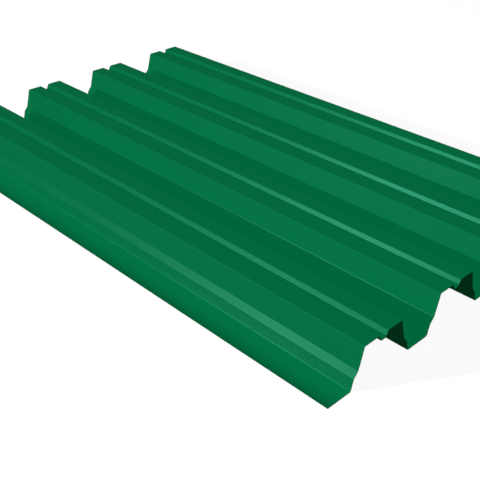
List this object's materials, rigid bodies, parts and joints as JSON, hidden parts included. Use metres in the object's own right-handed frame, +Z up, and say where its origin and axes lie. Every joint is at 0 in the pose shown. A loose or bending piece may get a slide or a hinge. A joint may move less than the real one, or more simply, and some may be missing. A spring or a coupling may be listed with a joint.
{
  "type": "profiled steel sheet",
  "caption": "Trapezoidal decking sheet of green coated steel, cut to length, with grooved ridges, stepped webs and flat edge valleys that lap its neighbours.",
  "frame": {"origin": "centre of the bounding box in X and Y, on the floor under the valleys", "axes": "+X across the sheet, +Y along the ridges, +Z up through the sheet's depth, with the ridges up"},
  "size_m": [0.8, 1.185, 0.0708],
  "materials": {
    "coated_steel": "satin"
  },
  "bodies": {
    "root": {"profiled_sheet": "coated_steel"}
  },
  "joints": []
}
